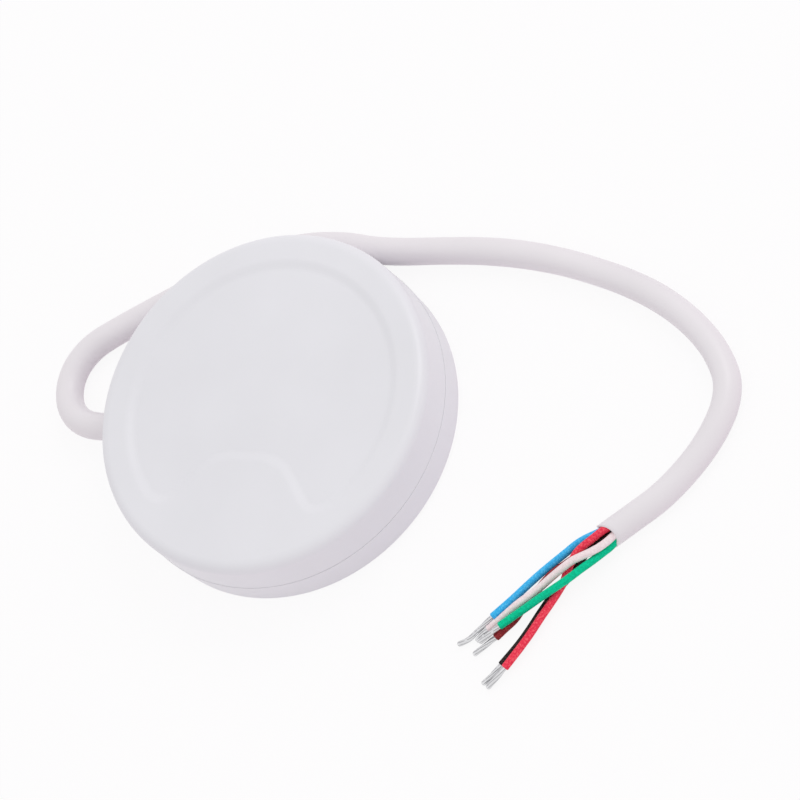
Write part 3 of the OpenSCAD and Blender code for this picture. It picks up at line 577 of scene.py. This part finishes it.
CASE_WHITE = srgb(231, 230, 235)
JACKET_WHITE = srgb(233, 228, 232)
EPOXY = srgb(34, 34, 36)
COPPER = srgb(196, 112, 60)
materials = {
    "cover_plastic": moulded("cover_plastic", CASE_WHITE, roughness=0.33),
    "base_plastic": moulded("base_plastic", CASE_WHITE, roughness=0.36),
    "pad_foam": foam("pad_foam", srgb(82, 84, 90)),
    "grommet_rubber": moulded(
        "grommet_rubber", srgb(226, 224, 227), roughness=0.5, grain=1800, depth=0.01 * MM,
    ),
    "tie_nylon": moulded("tie_nylon", srgb(40, 40, 42), roughness=0.42),
    "cable_pvc": moulded(
        "cable_pvc", JACKET_WHITE, roughness=0.38, grain=1400, depth=0.012 * MM, vary=0.025,
    ),
    "blue_pvc": insulation("blue_pvc", srgb(64, 189, 250), srgb(98, 204, 253)),
    "white_pvc": insulation("white_pvc", srgb(247, 228, 231), srgb(252, 239, 241), vary=0.06),
    "green_pvc": insulation("green_pvc", srgb(0, 198, 149), srgb(0, 214, 162)),
    "brown_pvc": insulation("brown_pvc", srgb(148, 46, 52), srgb(180, 70, 70)),
    "red_pvc": insulation("red_pvc", srgb(243, 58, 85), srgb(253, 104, 114)),
    "black_pvc": insulation("black_pvc", srgb(34, 28, 28), srgb(66, 54, 50)),
    "tinned_copper": stranded("tinned_copper", srgb(226, 226, 228), roughness=0.2, groove_shade=0.22),
    "cream_nylon": moulded("cream_nylon", srgb(228, 224, 208), roughness=0.45),
    "contact_metal": metal("contact_metal", srgb(222, 200, 140), roughness=0.25),
    "board_fr4": laminate("board_fr4", srgb(18, 84, 46), srgb(52, 128, 78)),
    "radio_fr4": laminate("radio_fr4", srgb(20, 46, 92), srgb(60, 92, 140)),
    "screw_steel": metal("screw_steel", srgb(200, 200, 204), roughness=0.3),
    "shield_metal": metal("shield_metal", srgb(208, 208, 210), roughness=0.34, scratch=(1, 14, 1)),
    "ceramic": moulded("ceramic", srgb(214, 211, 200), roughness=0.55),
    "black_plastic": moulded("black_plastic", EPOXY, roughness=0.5, vary=0.08),
    "relay_iron": metal("relay_iron", srgb(168, 168, 172), roughness=0.32),
    "copper_wire": wound("copper_wire", COPPER, "X"),
    "can_aluminium": metal("can_aluminium", srgb(206, 208, 211), roughness=0.28, scratch=(1, 1, 20)),
    "ferrite": moulded("ferrite", srgb(62, 62, 65), roughness=0.6, vary=0.1),
    "chip_body": moulded("chip_body", srgb(150, 124, 92), roughness=0.5, vary=0.08),
    "led_lens": moulded("led_lens", srgb(232, 230, 200), roughness=0.15),
}
choke_wire = wound("choke_wire", COPPER, "Z")


def dress(obj, material):
    """Give an object one material in place of what it has."""
    obj.data.materials.clear()
    obj.data.materials.append(material)


for part in frame["record"]["subparts"]:
    dress(nodes[part["node"]], materials[part["material_slot"]])
dress(nodes["inductor_winding"], choke_wire)
dress(jacket, materials["cable_pvc"])
for colour in CORE_ROUTES:
    dress(cores[colour], materials[colour + "_pvc"])
    dress(tips[colour], materials["tinned_copper"])

# Stage: a white floor, a pale surround and a soft box

FLOOR_SIZE = 6
# The floor lies just under the part, so that their faces don't coincide
FLOOR_DROP = 0.02 * MM
# How much of the floor that the eye sees is plain white; the rest keeps the shadow
FLOOR_WHITE = 0.9
FLOOR_TONE = (0.91, 0.835, 0.89, 1)
SKY = 0.825
KEY_TOWARDS = (0.37, 0.58, 0.73)
KEY_DISTANCE = 1.1
KEY_SIZE = (0.6, 0.6)
KEY_WATTS = 2.1


def camera_rays(tree):
    """1 where the eye sees a surface straight, in a mirror or through glass."""
    rays = tree.nodes.new("ShaderNodeLightPath").outputs
    seen = rays["Is Camera Ray"]
    for kind in ("Is Glossy Ray", "Is Transmission Ray"):
        either = tree.nodes.new("ShaderNodeMath")
        either.operation = "MAXIMUM"
        tree.links.new(seen, either.inputs[0])
        tree.links.new(rays[kind], either.inputs[1])
        seen = either.outputs[0]
    return seen


def make_floor():
    bm = bmesh.new()
    bmesh.ops.create_grid(bm, x_segments=1, y_segments=1, size=FLOOR_SIZE / 2)
    bmesh.ops.translate(bm, verts=bm.verts, vec=(0, 0, -FLOOR_DROP))
    floor = finish_mesh("floor", bm)
    material = bpy.data.materials.new("floor")
    material.use_nodes = True
    tree = material.node_tree
    tree.nodes.clear()
    out = tree.nodes.new("ShaderNodeOutputMaterial")
    mix = tree.nodes.new("ShaderNodeMixShader")
    matt = tree.nodes.new("ShaderNodeBsdfDiffuse")
    matt.inputs["Color"].default_value = FLOOR_TONE
    glow = tree.nodes.new("ShaderNodeEmission")
    share = tree.nodes.new("ShaderNodeMath")
    share.operation = "MULTIPLY"
    share.inputs[1].default_value = FLOOR_WHITE
    tree.links.new(camera_rays(tree), share.inputs[0])
    tree.links.new(share.outputs[0], mix.inputs["Fac"])
    tree.links.new(matt.outputs[0], mix.inputs[1])
    tree.links.new(glow.outputs[0], mix.inputs[2])
    tree.links.new(mix.outputs[0], out.inputs["Surface"])
    dress(floor, material)


def make_world():
    world = bpy.data.worlds.new("surround")
    bpy.context.scene.world = world
    world.use_nodes = True
    tree = world.node_tree
    glow = tree.nodes["Background"]
    glow.inputs["Color"].default_value = (1, 1, 1, 1)
    strength = tree.nodes.new("ShaderNodeMapRange")
    strength.inputs["To Min"].default_value = SKY
    strength.inputs["To Max"].default_value = 1
    tree.links.new(camera_rays(tree), strength.inputs["Value"])
    tree.links.new(strength.outputs["Result"], glow.inputs["Strength"])


def soft_box(name, towards, distance, size, watts):
    """A square lamp that shines from a direction at the part's origin."""
    data = bpy.data.lights.new(name, "AREA")
    data.shape = "RECTANGLE"
    data.size, data.size_y = size
    data.energy = watts
    lamp = bpy.data.objects.new(name, data)
    towards = Vector(towards).normalized()
    lamp.location = towards * distance
    lamp.rotation_mode = "QUATERNION"
    lamp.rotation_quaternion = towards.to_track_quat("Z", "Y")
    bpy.context.scene.collection.objects.link(lamp)


make_floor()
make_world()
soft_box("key", KEY_TOWARDS, KEY_DISTANCE, KEY_SIZE, KEY_WATTS)

bpy.context.scene.view_settings.view_transform = "Standard"
